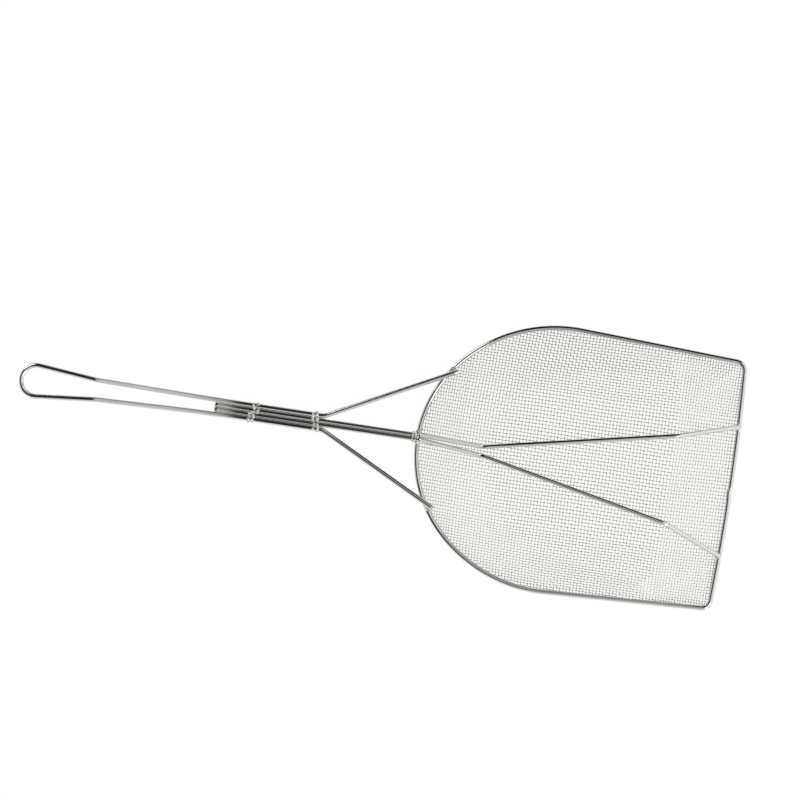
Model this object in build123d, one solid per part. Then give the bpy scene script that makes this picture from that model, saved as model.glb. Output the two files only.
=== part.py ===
from build123d import *
import os
from math import asin, atan2, ceil, cos, degrees, hypot, radians, sin, sqrt, tan

os.makedirs("parts", exist_ok=True)

# Shovel skimmer of woven wire cloth: a welded assembly of bright round wire.
# It stands mouth down on the hem of its dish. +X runs along the handle to the
# straight front edge, +Y is the left side and +Z points from the mouth to the
# flat bottom. The origin is under the middle of the overall box.
# While the pieces are built, x counts from the back of the rim wire.
# Lengths are in millimetres and angles in degrees.

# Stock
frame_wire = 4.75
support_wire = 4.1
cloth = 1.4
contact_gap = 0.1

# Mouth outline, on the centre line of the rim wire
rim_length = 291.0
rim_back_radius = 116.2
rim_back_angle = 43.5
rim_flank_radius = 134.6
rim_side_taper = 3.0
rim_front_bow = 3.2
rim_corner_radius = 8.0

# Rim joint: the two ends of the rim wire meet in the front edge
rim_joint_y = -3.4
rim_joint_gap = 1.6
rim_joint_bulge = 0.3

# Pressed dish, on its outer face
dish_depth = 42.0
back_wall_run = 67.0
front_wall_run = 54.6
flat_back_radius = 76.0
flat_back_angle = 40.0
flat_flank_radius = 110.0
flat_side_flare = 8.0
flat_front_bow = 2.0
flat_corner_radius = 14.0
flat_edge_radius = 12.0
hem_outside = 1.6
hem_inside = 2.1

# Net of the dish, coarser than the woven cloth that it stands for
net_pitch = 22.0
net_bar = 1.4
net_border = 3.0
least_gap_share = 0.25

# Handle, seen from above, each length counted on from the one before
handle_offset = 2.4
front_weld_back = 96.0
weld_spacing = 58.5
pair_past_weld = 36.5
rise_past_weld = 40.5
leg_length = 104.5
loop_reach = 70.6
loop_radius = 14.4
kink_half_gap = 9.05
kink_radius = 14.0

# Handle, seen from the side: level, then rising, then level again at the loop
handle_rise = 24.0
rise_bend_radius = 290.0

# Braces, from the front of the handle to the rim
brace_root_gap = 8.0
brace_angle = 26.8
brace_bend_radius = 10.0
brace_overhang = 11.0

# Support wires, from the handle over the dish to the front edge
support_drop = 3.0
support_back_overrun = 3.5
support_back_half_gap = 4.0
support_front_half_gap = 40.0
left_support_end = 55.5
right_support_end = 65.0
support_end_past_rim = 1.0
support_bend_radius = 7.0

# Weld beads, each a round bar of metal: its radius, and how far it reaches past the wires that it joins
bundle_bead_radius = 2.6
bundle_bead_lift = 0.6
bundle_bead_reach = 1.8
rim_back_bead_radius = 2.6
rim_back_bead_lift = 0.5
rim_back_bead_reach = 1.2
rim_back_bead_back = 1.8
valley_bead_radius = 1.6
valley_bead_length = 4.6
brace_bead_radius = 1.7
end_bead_radius = 2.0
end_bead_reach = 2.0

# How much further forward the left end of a bundle bead is than its right end
rear_bead_slant = 4.0
front_bead_slant = -3.0

# Brace beads: from where to where along the rim from the crossing, in frame wire diameters
brace_bead_shares = (0.8, 1.7)

# Heights
frame_r = frame_wire / 2
support_r = support_wire / 2
rim_z = cloth + contact_gap + frame_r
rim_top = rim_z + frame_r
support_z = rim_top + contact_gap + support_r
handle_z = rim_top + contact_gap + frame_r
flat_top = rim_z + dish_depth + cloth / 2
support_flat_z = flat_top + contact_gap + support_r
loop_z = handle_z + handle_rise

# Places along the handle, and across it
rear_weld_back = front_weld_back + weld_spacing
pair_tail = rear_weld_back + pair_past_weld
rise_corner = rear_weld_back + rise_past_weld
kink_back = rise_corner + leg_length
loop_end = kink_back + loop_reach
pair_y = support_r + contact_gap / 2
outer_y = pair_y + sqrt((frame_r + support_r + contact_gap) ** 2 - (handle_z - support_z) ** 2)
flat_front = rim_length - front_wall_run

# Long bend of the handle
rise_turn = atan2(handle_rise, leg_length)
rise_start = rise_corner - rise_bend_radius * tan(rise_turn / 2)

middle_x = (rim_length - loop_end) / 2


def on_circle(center, radius, angle):
    """Point on a circle that lies level, with the angle counted from +X."""
    return center + Vector(cos(radians(angle)), sin(radians(angle)), 0) * radius


def mirrored(point):
    return Vector(point.X, -point.Y, point.Z)


class Outline:
    """A shovel outline: a round back, wider flanks, straight sides and a bowed front edge."""

    def __init__(self, back, back_radius, back_angle, flank_radius, side_angle, front, bow, corner, inset, z):
        back_center = Vector(back + back_radius, 0, z)
        flank_center = on_circle(back_center, flank_radius - back_radius, -back_angle)
        joint_angle = 180 - back_angle
        shoulder_angle = 90 + side_angle
        along = Vector(cos(radians(side_angle)), sin(radians(side_angle)), 0)
        inward = Vector(along.Y, -along.X, 0)

        # The front arc has the given bow between the corners of the side lines
        side_start = on_circle(flank_center, flank_radius, shoulder_angle)
        corner_y = side_start.Y + (front - bow - side_start.X) * tan(radians(side_angle))
        front_radius = (bow ** 2 + corner_y ** 2) / (2 * bow)
        front_center = Vector(front - front_radius, 0, z)

        # The corner's centre is one corner radius inside the side line and the front arc
        start = side_start + inward * corner - front_center
        half_b = start.dot(along)
        reach = sqrt(half_b ** 2 - start.dot(start) + (front_radius - corner) ** 2) - half_b
        corner_center = front_center + start + along * reach
        outward = (corner_center - front_center).normalized()

        self.z = z
        self.front_center = front_center
        self.front_radius = front_radius - inset
        self.back = Vector(back + inset, 0, z)
        self.joint = on_circle(back_center, back_radius - inset, joint_angle)
        self.flank = on_circle(flank_center, flank_radius - inset, (joint_angle + shoulder_angle) / 2)
        self.shoulder = on_circle(flank_center, flank_radius - inset, shoulder_angle)
        self.side_end = corner_center - inward * (corner - inset)
        self.corner_mid = corner_center + (outward - inward).normalized() * (corner - inset)
        self.corner_end = corner_center + outward * (corner - inset)

    def half(self, place):
        """Edges of one side from the front corner to the back arc, each point put through place."""
        return [
            ThreePointArc(place(self.corner_end), place(self.corner_mid), place(self.side_end)),
            Line(place(self.side_end), place(self.shoulder)),
            ThreePointArc(place(self.shoulder), place(self.flank), place(self.joint)),
        ]

    def back_arc(self):
        return ThreePointArc(self.joint, self.back, mirrored(self.joint))

    def front_point(self, y):
        """Point of the front arc at the given y."""
        return self.front_center + Vector(sqrt(self.front_radius ** 2 - y ** 2), y, 0)

    def face(self):
        front_arc = ThreePointArc(mirrored(self.corner_end), self.front_point(0), self.corner_end)
        return Face(Wire([*self.half(Vector), self.back_arc(), *self.half(mirrored), front_arc]))


def rim_outline(inset, z):
    return Outline(0, rim_back_radius, rim_back_angle, rim_flank_radius, -rim_side_taper,
                   rim_length, rim_front_bow, rim_corner_radius, inset, z)


def flat_outline(inset, z):
    return Outline(back_wall_run, flat_back_radius, flat_back_angle, flat_flank_radius, flat_side_flare,
                   flat_front, flat_front_bow, flat_corner_radius, inset, z)


rim_line = rim_outline(0, rim_z)


def round_wire(path, diameter):
    """Solid of a round wire along a path of straight runs and arcs."""
    runs = []
    for edge in path.edges():
        start = edge @ 0
        heading = edge % 0
        section = Plane(origin=start, z_dir=heading) * Circle(diameter / 2)
        if edge.geom_type == GeomType.LINE:
            runs.append(extrude(section, edge.length))
        else:
            hub = edge.arc_center
            turn = Axis(hub, (start - hub).cross(heading))
            runs.append(revolve(section, turn, degrees(edge.length / edge.radius)))
    return runs[0].fuse(*runs[1:])


def make_rim():
    """One wire round the mouth, open at the rim joint."""
    left_y = rim_joint_y + rim_joint_gap / 2
    right_y = rim_joint_y - rim_joint_gap / 2
    corner = rim_line.corner_end
    left_middle = rim_line.front_point((left_y + corner.Y) / 2)
    right_middle = rim_line.front_point((right_y - corner.Y) / 2)
    path = Wire([
        ThreePointArc(rim_line.front_point(left_y), left_middle, corner),
        *rim_line.half(Vector),
        rim_line.back_arc(),
        *rim_line.half(mirrored),
        ThreePointArc(mirrored(corner), right_middle, rim_line.front_point(right_y)),
    ])
    return round_wire(path, frame_wire)


def make_rim_joint(dish):
    """Barrel of weld metal between the ends of the rim wire."""
    ends = [rim_line.front_point(rim_joint_y + side * rim_joint_gap / 2) for side in (1, -1)]
    middle = ThreePointArc(ends[0], rim_line.front_point(rim_joint_y), ends[1])
    return round_wire(middle, frame_wire + 2 * rim_joint_bulge) - dish


def dish_body(inset, drop):
    """Solid under the dish, moved in and down from its outer face, with the flat's edge rounded in two steps."""
    turn = atan2(flat_top - cloth, front_wall_run - hem_inside)
    tangent = flat_edge_radius * tan(turn / 2)
    sagitta = flat_edge_radius * (1 / cos(turn / 2) - 1)
    sections = [
        rim_outline(hem_inside + inset, cloth - drop),
        flat_outline(inset - tangent * cos(turn), flat_top - drop - tangent * sin(turn)),
        flat_outline(inset + sagitta * sin(turn / 2), flat_top - drop - sagitta * cos(turn / 2)),
        flat_outline(inset + tangent, flat_top - drop),
    ]
    return loft([section.face() for section in sections], ruled=True)


def make_dish():
    """The pressed cloth with its hem under the rim wire, before it is pierced."""
    hem = extrude(rim_outline(-hem_outside, 0).face(), cloth)
    return (dish_body(0, 0) + hem) - dish_body(cloth / 2, cloth)


def pierce(dish):
    """Cut the square gaps of the net straight up through the dish, inside its border."""
    field = rim_outline(hem_inside + net_border, 0).face()
    gap = net_pitch - net_bar
    half_width = rim_line.flank.Y
    columns = ceil(rim_length / net_pitch)
    rows = ceil(half_width / net_pitch)
    gaps = []
    for column in range(columns):
        for row in range(-rows, rows + 1):
            square = Pos((column + 1 / 2) * net_pitch, row * net_pitch, 0) * Rectangle(gap, gap)
            trimmed = square & field
            if trimmed is None:
                continue
            for face in trimmed.faces():
                if face.area > least_gap_share * gap ** 2:
                    gaps.append(extrude(face, flat_top + cloth))
    return dish - gaps


def risen(x, z):
    """Height at x of a handle wire that runs level at z in front of the long bend."""
    run = max(0, -rise_start - x)
    return z + rise_bend_radius - sqrt(rise_bend_radius ** 2 - run ** 2)


def brace_crossing(side):
    """Point where a brace crosses the centre line of the rim, on the back arc."""
    slope = tan(radians(brace_angle))
    root_x = brace_root_gap - front_weld_back
    # The brace is y = height + slope x, the arc is (x - R)^2 + y^2 = R^2
    height = outer_y + side * handle_offset - slope * root_x
    half_b = slope * height - rim_back_radius
    square = 1 + slope ** 2
    x = (-half_b - sqrt(half_b ** 2 - square * height ** 2)) / square
    return Vector(x, side * (height + slope * x), handle_z)


def make_handle():
    """One wire: left brace, left leg, loop, right leg and right brace."""
    center_x = loop_radius - loop_end
    reach = loop_reach - loop_radius
    # Each leg touches the loop, which sets how far it leans outwards
    lean = asin(loop_radius / hypot(reach, kink_half_gap)) - atan2(kink_half_gap, reach)
    touch = Vector(center_x + loop_radius * sin(lean), loop_radius * cos(lean), loop_z)
    legs = []
    for side in (1, -1):
        tip = brace_crossing(side)
        tip += Vector(cos(radians(brace_angle)), side * sin(radians(brace_angle)), 0) * brace_overhang
        points = [
            tip,
            Vector(brace_root_gap - front_weld_back, handle_offset + side * outer_y, handle_z),
            Vector(-rise_corner, handle_offset + side * outer_y, handle_z),
            Vector(-kink_back, handle_offset + side * kink_half_gap, loop_z),
            Vector(touch.X, handle_offset + side * touch.Y, loop_z),
        ]
        legs.append(FilletPolyline(*points, radius=[brace_bend_radius, rise_bend_radius, kink_radius]))
    loop = ThreePointArc(legs[0] @ 1, (-loop_end, handle_offset, loop_z), legs[1] @ 1)
    return round_wire(Wire([*legs[0].edges(), loop, *legs[1].edges()]), frame_wire)


def make_support(side, front_end):
    """Support wire from its tail in the handle, over the rim and the dish, to the front edge."""
    tail_y = handle_offset + side * pair_y
    middle = -(rise_start + pair_tail) / 2
    tail = ThreePointArc((-pair_tail, tail_y, risen(-pair_tail, support_z)),
                         (middle, tail_y, risen(middle, support_z)),
                         (-rise_start, tail_y, support_z))
    end_x = rim_line.front_point(front_end).X + support_end_past_rim
    end_z = rim_z + sqrt((frame_r + contact_gap + support_r) ** 2 - support_end_past_rim ** 2)
    points = [
        Vector(-rise_start, tail_y, support_z),
        Vector(support_drop, tail_y, support_z),
        Vector(back_wall_run - support_back_overrun, side * support_back_half_gap, support_flat_z),
        Vector(flat_front, side * support_front_half_gap, support_flat_z),
        Vector(end_x, side * front_end, end_z),
    ]
    body = FilletPolyline(*points, radius=support_bend_radius)
    return round_wire(Wire([tail, *body.edges()]), support_wire)


def bead(path, radius, joined):
    """Weld metal as a round bar along a path, less the pieces that it joins."""
    metal = round_wire(path, 2 * radius)
    for piece in joined:
        metal = metal - piece
    return metal


def bundle_bead(back, slant, joined):
    """Bead across the tops of the handle's four wires, its left end further forward by the slant."""
    half = outer_y + bundle_bead_reach
    z = support_z + bundle_bead_lift
    left = Vector(slant / 2 - back, handle_offset + half, z)
    right = Vector(-slant / 2 - back, handle_offset - half, z)
    metal = bead(Line(left, right), bundle_bead_radius, joined)
    return split(metal, bisect_by=Plane.XY.offset(support_z), keep=Keep.TOP)


def rim_back_bead(joined):
    """Bead where the two support wires cross the rim, and one in the valley between them."""
    half = pair_y + support_r + rim_back_bead_reach
    z = support_z + rim_back_bead_lift
    over_rim = Line((-rim_back_bead_back, handle_offset + half, z), (-rim_back_bead_back, handle_offset - half, z))
    valley_start = -rim_back_bead_back
    valley_z = support_z + valley_bead_radius
    valley = Line((valley_start, handle_offset, valley_z), (valley_start - valley_bead_length, handle_offset, valley_z))
    return bead(over_rim, rim_back_bead_radius, joined) + bead(valley, valley_bead_radius, joined)


def brace_bead(side, joined):
    """Bead in the corner between a brace and the rim, on the rim just in front of the crossing."""
    cross = brace_crossing(side)
    start = atan2(abs(cross.Y), rim_back_radius - cross.X)
    ends = []
    for share in brace_bead_shares:
        angle = start + share * frame_wire / rim_back_radius
        x = rim_back_radius - rim_back_radius * cos(angle)
        ends.append(Vector(x, side * rim_back_radius * sin(angle), rim_top))
    return bead(Line(*ends), brace_bead_radius, joined)


def support_end_bead(side, front_end, joined):
    """Bead over the end of a support wire, on top of the front edge."""
    x = rim_line.front_point(front_end).X + support_end_past_rim
    half = support_r + end_bead_reach
    path = Line((x, side * (front_end + half), rim_top), (x, side * (front_end - half), rim_top))
    return bead(path, end_bead_radius, joined)


def build():
    rim = make_rim()
    handle = make_handle()
    left_support = make_support(1, left_support_end)
    right_support = make_support(-1, right_support_end)
    dish = make_dish()
    bundle = [handle, left_support, right_support]
    return {
        "rim_wire": rim,
        "handle_wire": handle,
        "left_support_wire": left_support,
        "right_support_wire": right_support,
        "mesh_basket": pierce(dish),
        "rear_bundle_weld": bundle_bead(rear_weld_back, rear_bead_slant, bundle),
        "front_bundle_weld": bundle_bead(front_weld_back, front_bead_slant, bundle),
        "rim_back_weld": rim_back_bead([left_support, right_support]),
        "left_brace_weld": brace_bead(1, [rim, handle]),
        "right_brace_weld": brace_bead(-1, [rim, handle]),
        "left_support_weld": support_end_bead(1, left_support_end, [rim, left_support]),
        "right_support_weld": support_end_bead(-1, right_support_end, [rim, right_support]),
        "rim_butt_weld": make_rim_joint(dish),
    }


for name, shape in build().items():
    export_step(Pos(-middle_x, 0, 0) * shape, f"parts/{name}.step")
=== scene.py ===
import logging
from dataclasses import dataclass, field
from enum import Enum
from math import asin, atan2, cos, hypot, pi, radians, sin, sqrt, tan

import bpy
import numpy as np
from mathutils import Matrix, Vector


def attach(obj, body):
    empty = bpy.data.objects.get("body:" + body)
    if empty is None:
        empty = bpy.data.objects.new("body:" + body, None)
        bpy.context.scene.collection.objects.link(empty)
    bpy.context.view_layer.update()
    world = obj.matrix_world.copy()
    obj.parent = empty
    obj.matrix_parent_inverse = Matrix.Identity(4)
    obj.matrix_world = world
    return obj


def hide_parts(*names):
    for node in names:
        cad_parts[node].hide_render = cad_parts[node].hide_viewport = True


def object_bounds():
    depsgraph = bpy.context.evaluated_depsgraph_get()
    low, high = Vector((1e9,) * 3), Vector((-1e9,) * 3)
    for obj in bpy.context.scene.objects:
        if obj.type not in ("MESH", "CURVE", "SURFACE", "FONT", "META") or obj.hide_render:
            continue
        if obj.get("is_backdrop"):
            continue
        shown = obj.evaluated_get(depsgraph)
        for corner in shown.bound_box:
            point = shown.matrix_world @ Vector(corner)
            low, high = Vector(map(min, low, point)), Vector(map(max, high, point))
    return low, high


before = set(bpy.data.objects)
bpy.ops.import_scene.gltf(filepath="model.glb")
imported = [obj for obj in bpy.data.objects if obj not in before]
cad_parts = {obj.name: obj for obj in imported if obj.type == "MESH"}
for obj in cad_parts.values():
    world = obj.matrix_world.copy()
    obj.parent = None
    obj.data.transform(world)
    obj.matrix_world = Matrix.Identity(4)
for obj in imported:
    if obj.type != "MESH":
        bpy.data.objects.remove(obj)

# Wire mesh shovel skimmer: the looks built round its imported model.
# Lengths are in millimetres until a mesh is made. While a piece is worked out,
# x counts from the back of the rim wire, +Y is the left side and +Z points from
# the mouth of the dish to its flat bottom.

LOG = logging.getLogger("skimmer")
METRE = 0.001
# The middle of the overall box along x, which becomes the origin.
MIDDLE_X = -39.55
# The solids keep this gap where crossing wires touch.
CONTACT_GAP = 0.1
TINY = 1e-9
Array = np.ndarray
Pairs = tuple[tuple[float, float], ...]


class Slot(Enum):
    """Material slots of the record."""

    WIRE = "bright_wire"
    CLOTH = "woven_mesh"
    WELD = "weld_metal"


class Coords(Enum):
    """Where a finish reads its pattern from."""

    OBJECT = "Object"
    UV = "UV"


def linear(hex_code: str) -> tuple[float, float, float, float]:
    """Turn an sRGB hex colour to the linear values that a shader takes.

    Args:
        hex_code: Six digits, such as "C8C6C0".

    Returns:
        Red, green, blue and alpha, each from 0 to 1.
    """
    parts = [int(hex_code[i : i + 2], 16) / 255 for i in (0, 2, 4)]
    lin = [p / 12.92 if p <= 0.04045 else ((p + 0.055) / 1.055) ** 2.4 for p in parts]
    return (lin[0], lin[1], lin[2], 1.0)


def add_node(
    tree: bpy.types.NodeTree,
    kind: str,
    settings: dict | None = None,
    inputs: dict | None = None,
) -> bpy.types.Node:
    """Add a node with its settings, socket values and links.

    Args:
        tree: The node tree that gets the node.
        kind: Blender's name of the node type.
        settings: Node properties by name.
        inputs: Values, output sockets or nodes, by socket name or number. A node stands for its
            first output.

    Returns:
        The new node.
    """
    node = tree.nodes.new(kind)
    for name, value in (settings or {}).items():
        setattr(node, name, value)
    for key, value in (inputs or {}).items():
        if isinstance(value, bpy.types.Node):
            value = value.outputs[0]
        if isinstance(value, bpy.types.NodeSocket):
            tree.links.new(value, node.inputs[key])
        else:
            node.inputs[key].default_value = value
    return node


def steel_from_pattern(
    tree: bpy.types.NodeTree,
    pattern: bpy.types.NodeSocket,
    tones: tuple[str, str],
    roughness: tuple[float, float],
    bump_mm: float,
) -> None:
    """Let one pattern drive the colour, the gloss and the relief of bare steel.

    Args:
        tree: The material's node tree.
        pattern: Values round one half, as a noise node gives them.
        tones: Hex colours where the pattern is low and high.
        roughness: Roughness where the pattern is low and high.
        bump_mm: Height of the relief.
    """
    pattern_low, pattern_high = 0.3, 0.7
    ends = {0: pattern, 6: linear(tones[0]), 7: linear(tones[1])}
    tint = add_node(tree, "ShaderNodeMix", {"data_type": "RGBA"}, ends)
    ends = {0: pattern, 1: pattern_low, 2: pattern_high, 3: roughness[0], 4: roughness[1]}
    gloss = add_node(tree, "ShaderNodeMapRange", inputs=ends)
    height = {"Height": pattern, "Distance": bump_mm * METRE, "Strength": 1.0}
    relief = add_node(tree, "ShaderNodeBump", inputs=height)
    look = {"Base Color": tint.outputs[2], "Metallic": 1.0, "Roughness": gloss, "Normal": relief}
    shader = add_node(tree, "ShaderNodeBsdfPrincipled", inputs=look)
    add_node(tree, "ShaderNodeOutputMaterial", inputs={0: shader})


def empty_material(name: str) -> bpy.types.Material:
    """Make a material whose node tree holds nothing yet."""
    material = bpy.data.materials.new(name)
    material.use_nodes = True
    material.node_tree.nodes.clear()
    return material


@dataclass(frozen=True)
class DrawnSteel:
    """Stainless steel wire, bright drawn: the die leaves fine bright and dull lines along it.

    The wire looks like a mirror that is softly streaked along its length. The real lines are
    about 0.2 mm apart. They are drawn about 0.8 mm apart, so that they show.
    """

    name: str = "bright_drawn_stainless_wire"
    light: str = "E6E5E2"
    dark: str = "C2C0BC"
    gloss: float = 0.07
    dullest: float = 0.14
    lines_round: float = 18.0
    lines_per_metre: float = 5.0
    line_detail: float = 4.0
    line_fineness: float = 0.6
    bump_mm: float = 0.006

    def build(self) -> bpy.types.Material:
        """Make the material from noise stretched along the wire by its own UV map."""
        material = empty_material(self.name)
        tree = material.node_tree
        coords = add_node(tree, "ShaderNodeTexCoord").outputs[Coords.UV.value]
        stretch = {"Vector": coords, "Scale": (self.lines_round, self.lines_per_metre, 1.0)}
        stretched = add_node(tree, "ShaderNodeMapping", inputs=stretch)
        fineness = {"Detail": self.line_detail, "Roughness": self.line_fineness}
        noise = {"Vector": stretched, "Scale": 1.0, **fineness}
        lines = add_node(tree, "ShaderNodeTexNoise", inputs=noise)
        tones, roughness = (self.dark, self.light), (self.dullest, self.gloss)
        steel_from_pattern(tree, lines.outputs[0], tones, roughness, self.bump_mm)
        return material


@dataclass(frozen=True)
class SpottedSteel:
    """Stainless steel whose colour and gloss change in spots, read from object coordinates."""

    name: str
    light: str
    dark: str
    gloss: float
    dullest: float
    spot_mm: float
    bump_mm: float
    spot_detail: float = 3.0

    def build(self) -> bpy.types.Material:
        """Make the material from noise of the spot size."""
        material = empty_material(self.name)
        tree = material.node_tree
        coords = add_node(tree, "ShaderNodeTexCoord").outputs[Coords.OBJECT.value]
        scale = 1 / (self.spot_mm * METRE)
        noise = {"Vector": coords, "Scale": scale, "Detail": self.spot_detail}
        spots = add_node(tree, "ShaderNodeTexNoise", inputs=noise)
        tones, roughness = (self.dark, self.light), (self.gloss, self.dullest)
        steel_from_pattern(tree, spots.outputs[0], tones, roughness, self.bump_mm)
        return material


# Woven stainless cloth, pickled after weaving: pale and softly shiny, with no sharp highlights.
WOVEN_CLOTH = SpottedSteel(
    name="pickled_woven_stainless",
    light="E6E5DD",
    dark="CAC9C0",
    gloss=0.28,
    dullest=0.38,
    spot_mm=2.5,
    bump_mm=0.006,
)
# Stainless weld metal, left as it set: a bright, lumpy skin with a faint straw tint.
WELD_METAL = SpottedSteel(
    name="bright_weld_metal",
    light="F2F1ED",
    dark="D2CEC4",
    gloss=0.05,
    dullest=0.17,
    spot_mm=0.8,
    bump_mm=0.03,
)


def unit(vectors: Array) -> Array:
    """Bring one vector, or each row of an array, to length 1."""
    return vectors / np.maximum(np.linalg.norm(vectors, axis=-1, keepdims=True), TINY)


def run_along(path: Array) -> Array:
    """Distance of each point of a path from the first one, measured along the path."""
    return np.concatenate([[0.0], np.cumsum(np.linalg.norm(np.diff(path, axis=0), axis=1))])


def resampled(path: Array, step: float) -> Array:
    """Spread points evenly along a path.

    Args:
        path: Points in order, one a row.
        step: Wanted distance between points.

    Returns:
        Points a step apart or slightly less, from the first to the last.
    """
    run = run_along(path)
    places = np.linspace(0, run[-1], max(2, int(np.ceil(run[-1] / step)) + 1))
    return np.stack([np.interp(places, run, path[:, k]) for k in range(path.shape[1])], axis=1)


def arc(center: Array, radius: float, start: float, end: float, count: int = 60) -> Array:
    """Points of a level arc: centre plus radius times cosine and sine of the angle.

    Args:
        center: Centre in plan.
        radius: Radius.
        start: First angle in radians.
        end: Last angle in radians.
        count: Number of points.

    Returns:
        Plan points, one a row.
    """
    angles = np.linspace(start, end, count)
    return np.asarray(center) + radius * np.stack([np.cos(angles), np.sin(angles)], axis=1)


def rounded(points: Array, radii: list[float], count: int = 24) -> Array:
    """Round the inner corners of a run of straight lines.

    At each corner the arc starts radius times tan(half the turn) before it, and its points are
    that tangent point turned about the arc's centre.

    Args:
        points: Corners in order, one a row.
        radii: One radius for each inner corner.
        count: Points in each arc.

    Returns:
        Points of the rounded path.
    """
    parts = [points[:1]]
    for corner, before, after, radius in zip(points[1:-1], points[:-2], points[2:], radii):
        into, out = unit(corner - before), unit(after - corner)
        turn = np.arccos(np.clip(into @ out, -1, 1))
        tangent = radius * tan(turn / 2)
        inward = unit(out - (out @ into) * into)
        hub = corner - into * tangent + inward * radius
        angles = np.linspace(0, turn, count)[:, None]
        parts.append(hub - inward * radius * np.cos(angles) + into * radius * np.sin(angles))
    parts.append(points[-1:])
    return np.concatenate(parts)


@dataclass
class Skin:
    """Closed skins gathered into one mesh."""

    points: list[Array] = field(default_factory=list)
    quads: list[Array] = field(default_factory=list)
    fans: list[Array] = field(default_factory=list)
    quad_uvs: list[Array] = field(default_factory=list)
    fan_uvs: list[Array] = field(default_factory=list)
    count: int = 0

    def add_tube(self, path: Array, radii: Array, sides: int) -> None:
        """Carry a circle along a path and close both ends with a pole.

        Each ring lies square to the path: side is up cross the heading, and the ring's points
        are the path point plus radius times (cosine of the angle times side plus sine times top).

        Args:
            path: Points of the centre line; the first and last become the poles.
            radii: Radius at each inner point, or at each inner point and side.
            sides: Number of points round.
        """
        heading = unit(np.gradient(path, axis=0))
        side = unit(np.cross([0.0, 0.0, 1.0], heading))
        top = np.cross(heading, side)
        angles = 2 * pi * np.arange(sides) / sides - pi / 2
        radii = np.broadcast_to(np.atleast_2d(np.asarray(radii, float).T).T, (len(path) - 2, sides))
        rings = path[1:-1, None, :] + radii[:, :, None] * (
            np.cos(angles)[None, :, None] * side[1:-1, None, :]
            + np.sin(angles)[None, :, None] * top[1:-1, None, :]
        )
        rows = len(path) - 2
        self.points.append(np.concatenate([rings.reshape(-1, 3), path[:1], path[-1:]]))

        row, col = np.meshgrid(np.arange(rows - 1), np.arange(sides), indexing="ij")
        nxt = (col + 1) % sides
        quads = np.stack(
            [row * sides + col, row * sides + nxt, (row + 1) * sides + nxt, (row + 1) * sides + col],
            axis=-1,
        ).reshape(-1, 4)
        self.quads.append(quads + self.count)
        around = np.arange(sides)
        after = (around + 1) % sides
        last = (rows - 1) * sides
        start_fan = np.stack([np.full(sides, rows * sides), after, around], axis=1)
        end_fan = np.stack([np.full(sides, rows * sides + 1), last + around, last + after], axis=1)
        self.fans.append(np.concatenate([start_fan, end_fan]) + self.count)

        along = run_along(path)[1:-1] * METRE
        u0, u1 = col / sides, (col + 1) / sides
        v0, v1 = along[row], along[row + 1]
        self.quad_uvs.append(
            np.stack([u0, v0, u1, v0, u1, v1, u0, v1], axis=-1).reshape(-1, 4, 2)
        )
        share = np.stack([(around + 0.5) / sides, (around + 1) / sides, around / sides], axis=1)
        fan_u = np.concatenate([share, share[:, [0, 2, 1]]])
        fan_v = np.repeat([along[0], along[-1]], sides)[:, None].repeat(3, axis=1)
        self.fan_uvs.append(np.stack([fan_u, fan_v], axis=-1))
        self.count += rows * sides + 2

    def build(self, name: str, material: bpy.types.Material) -> bpy.types.Object:
        """Make the object in metres in the model's own frame.

        Args:
            name: The piece's name.
            material: Its finish.

        Returns:
            The new object, at the origin.
        """
        points = np.concatenate(self.points)
        points = (points - [MIDDLE_X, 0.0, 0.0]) * METRE
        quads, fans = np.concatenate(self.quads), np.concatenate(self.fans)
        corners = np.concatenate([quads.ravel(), fans.ravel()]).astype(np.int32)
        starts = np.concatenate(
            [np.arange(len(quads)) * 4, len(quads) * 4 + np.arange(len(fans)) * 3]
        ).astype(np.int32)
        mesh = bpy.data.meshes.new(name)
        mesh.vertices.add(len(points))
        mesh.vertices.foreach_set("co", points.ravel())
        mesh.loops.add(len(corners))
        mesh.loops.foreach_set("vertex_index", corners)
        mesh.polygons.add(len(starts))
        mesh.polygons.foreach_set("loop_start", starts)
        uvs = np.concatenate(
            [np.concatenate(self.quad_uvs).reshape(-1), np.concatenate(self.fan_uvs).reshape(-1)]
        )
        mesh.uv_layers.new(name="along").data.foreach_set("uv", uvs)
        mesh.update(calc_edges=True)
        mesh.validate()
        mesh.shade_smooth()
        mesh.materials.append(material)
        piece = bpy.data.objects.new(name, mesh)
        bpy.context.scene.collection.objects.link(piece)
        return piece


def wire_path(path: Array, radius: float, step: float) -> tuple[Array, Array]:
    """Give a wire its sheared ends: two rings and a pole close each end within a quarter radius.

    Args:
        path: Centre line of the wire.
        radius: The wire's radius.
        step: Distance between rings.

    Returns:
        The centre line with the end rings and poles, and the radius at each inner point.
    """
    body = resampled(path, step)
    first, last = unit(body[0] - body[1]), unit(body[-1] - body[-2])
    lip_share, full_share, lip_width_share = 0.06, 0.24, 0.9
    lip, full = lip_share * radius, full_share * radius
    line = np.concatenate(
        [
            [body[0], body[0] - first * lip, body[0] - first * full],
            body[2:-2],
            [body[-1] - last * full, body[-1] - last * lip, body[-1]],
        ]
    )
    radii = np.full(len(line) - 2, radius)
    radii[[0, -1]] = lip_width_share * radius
    return line, radii


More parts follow.
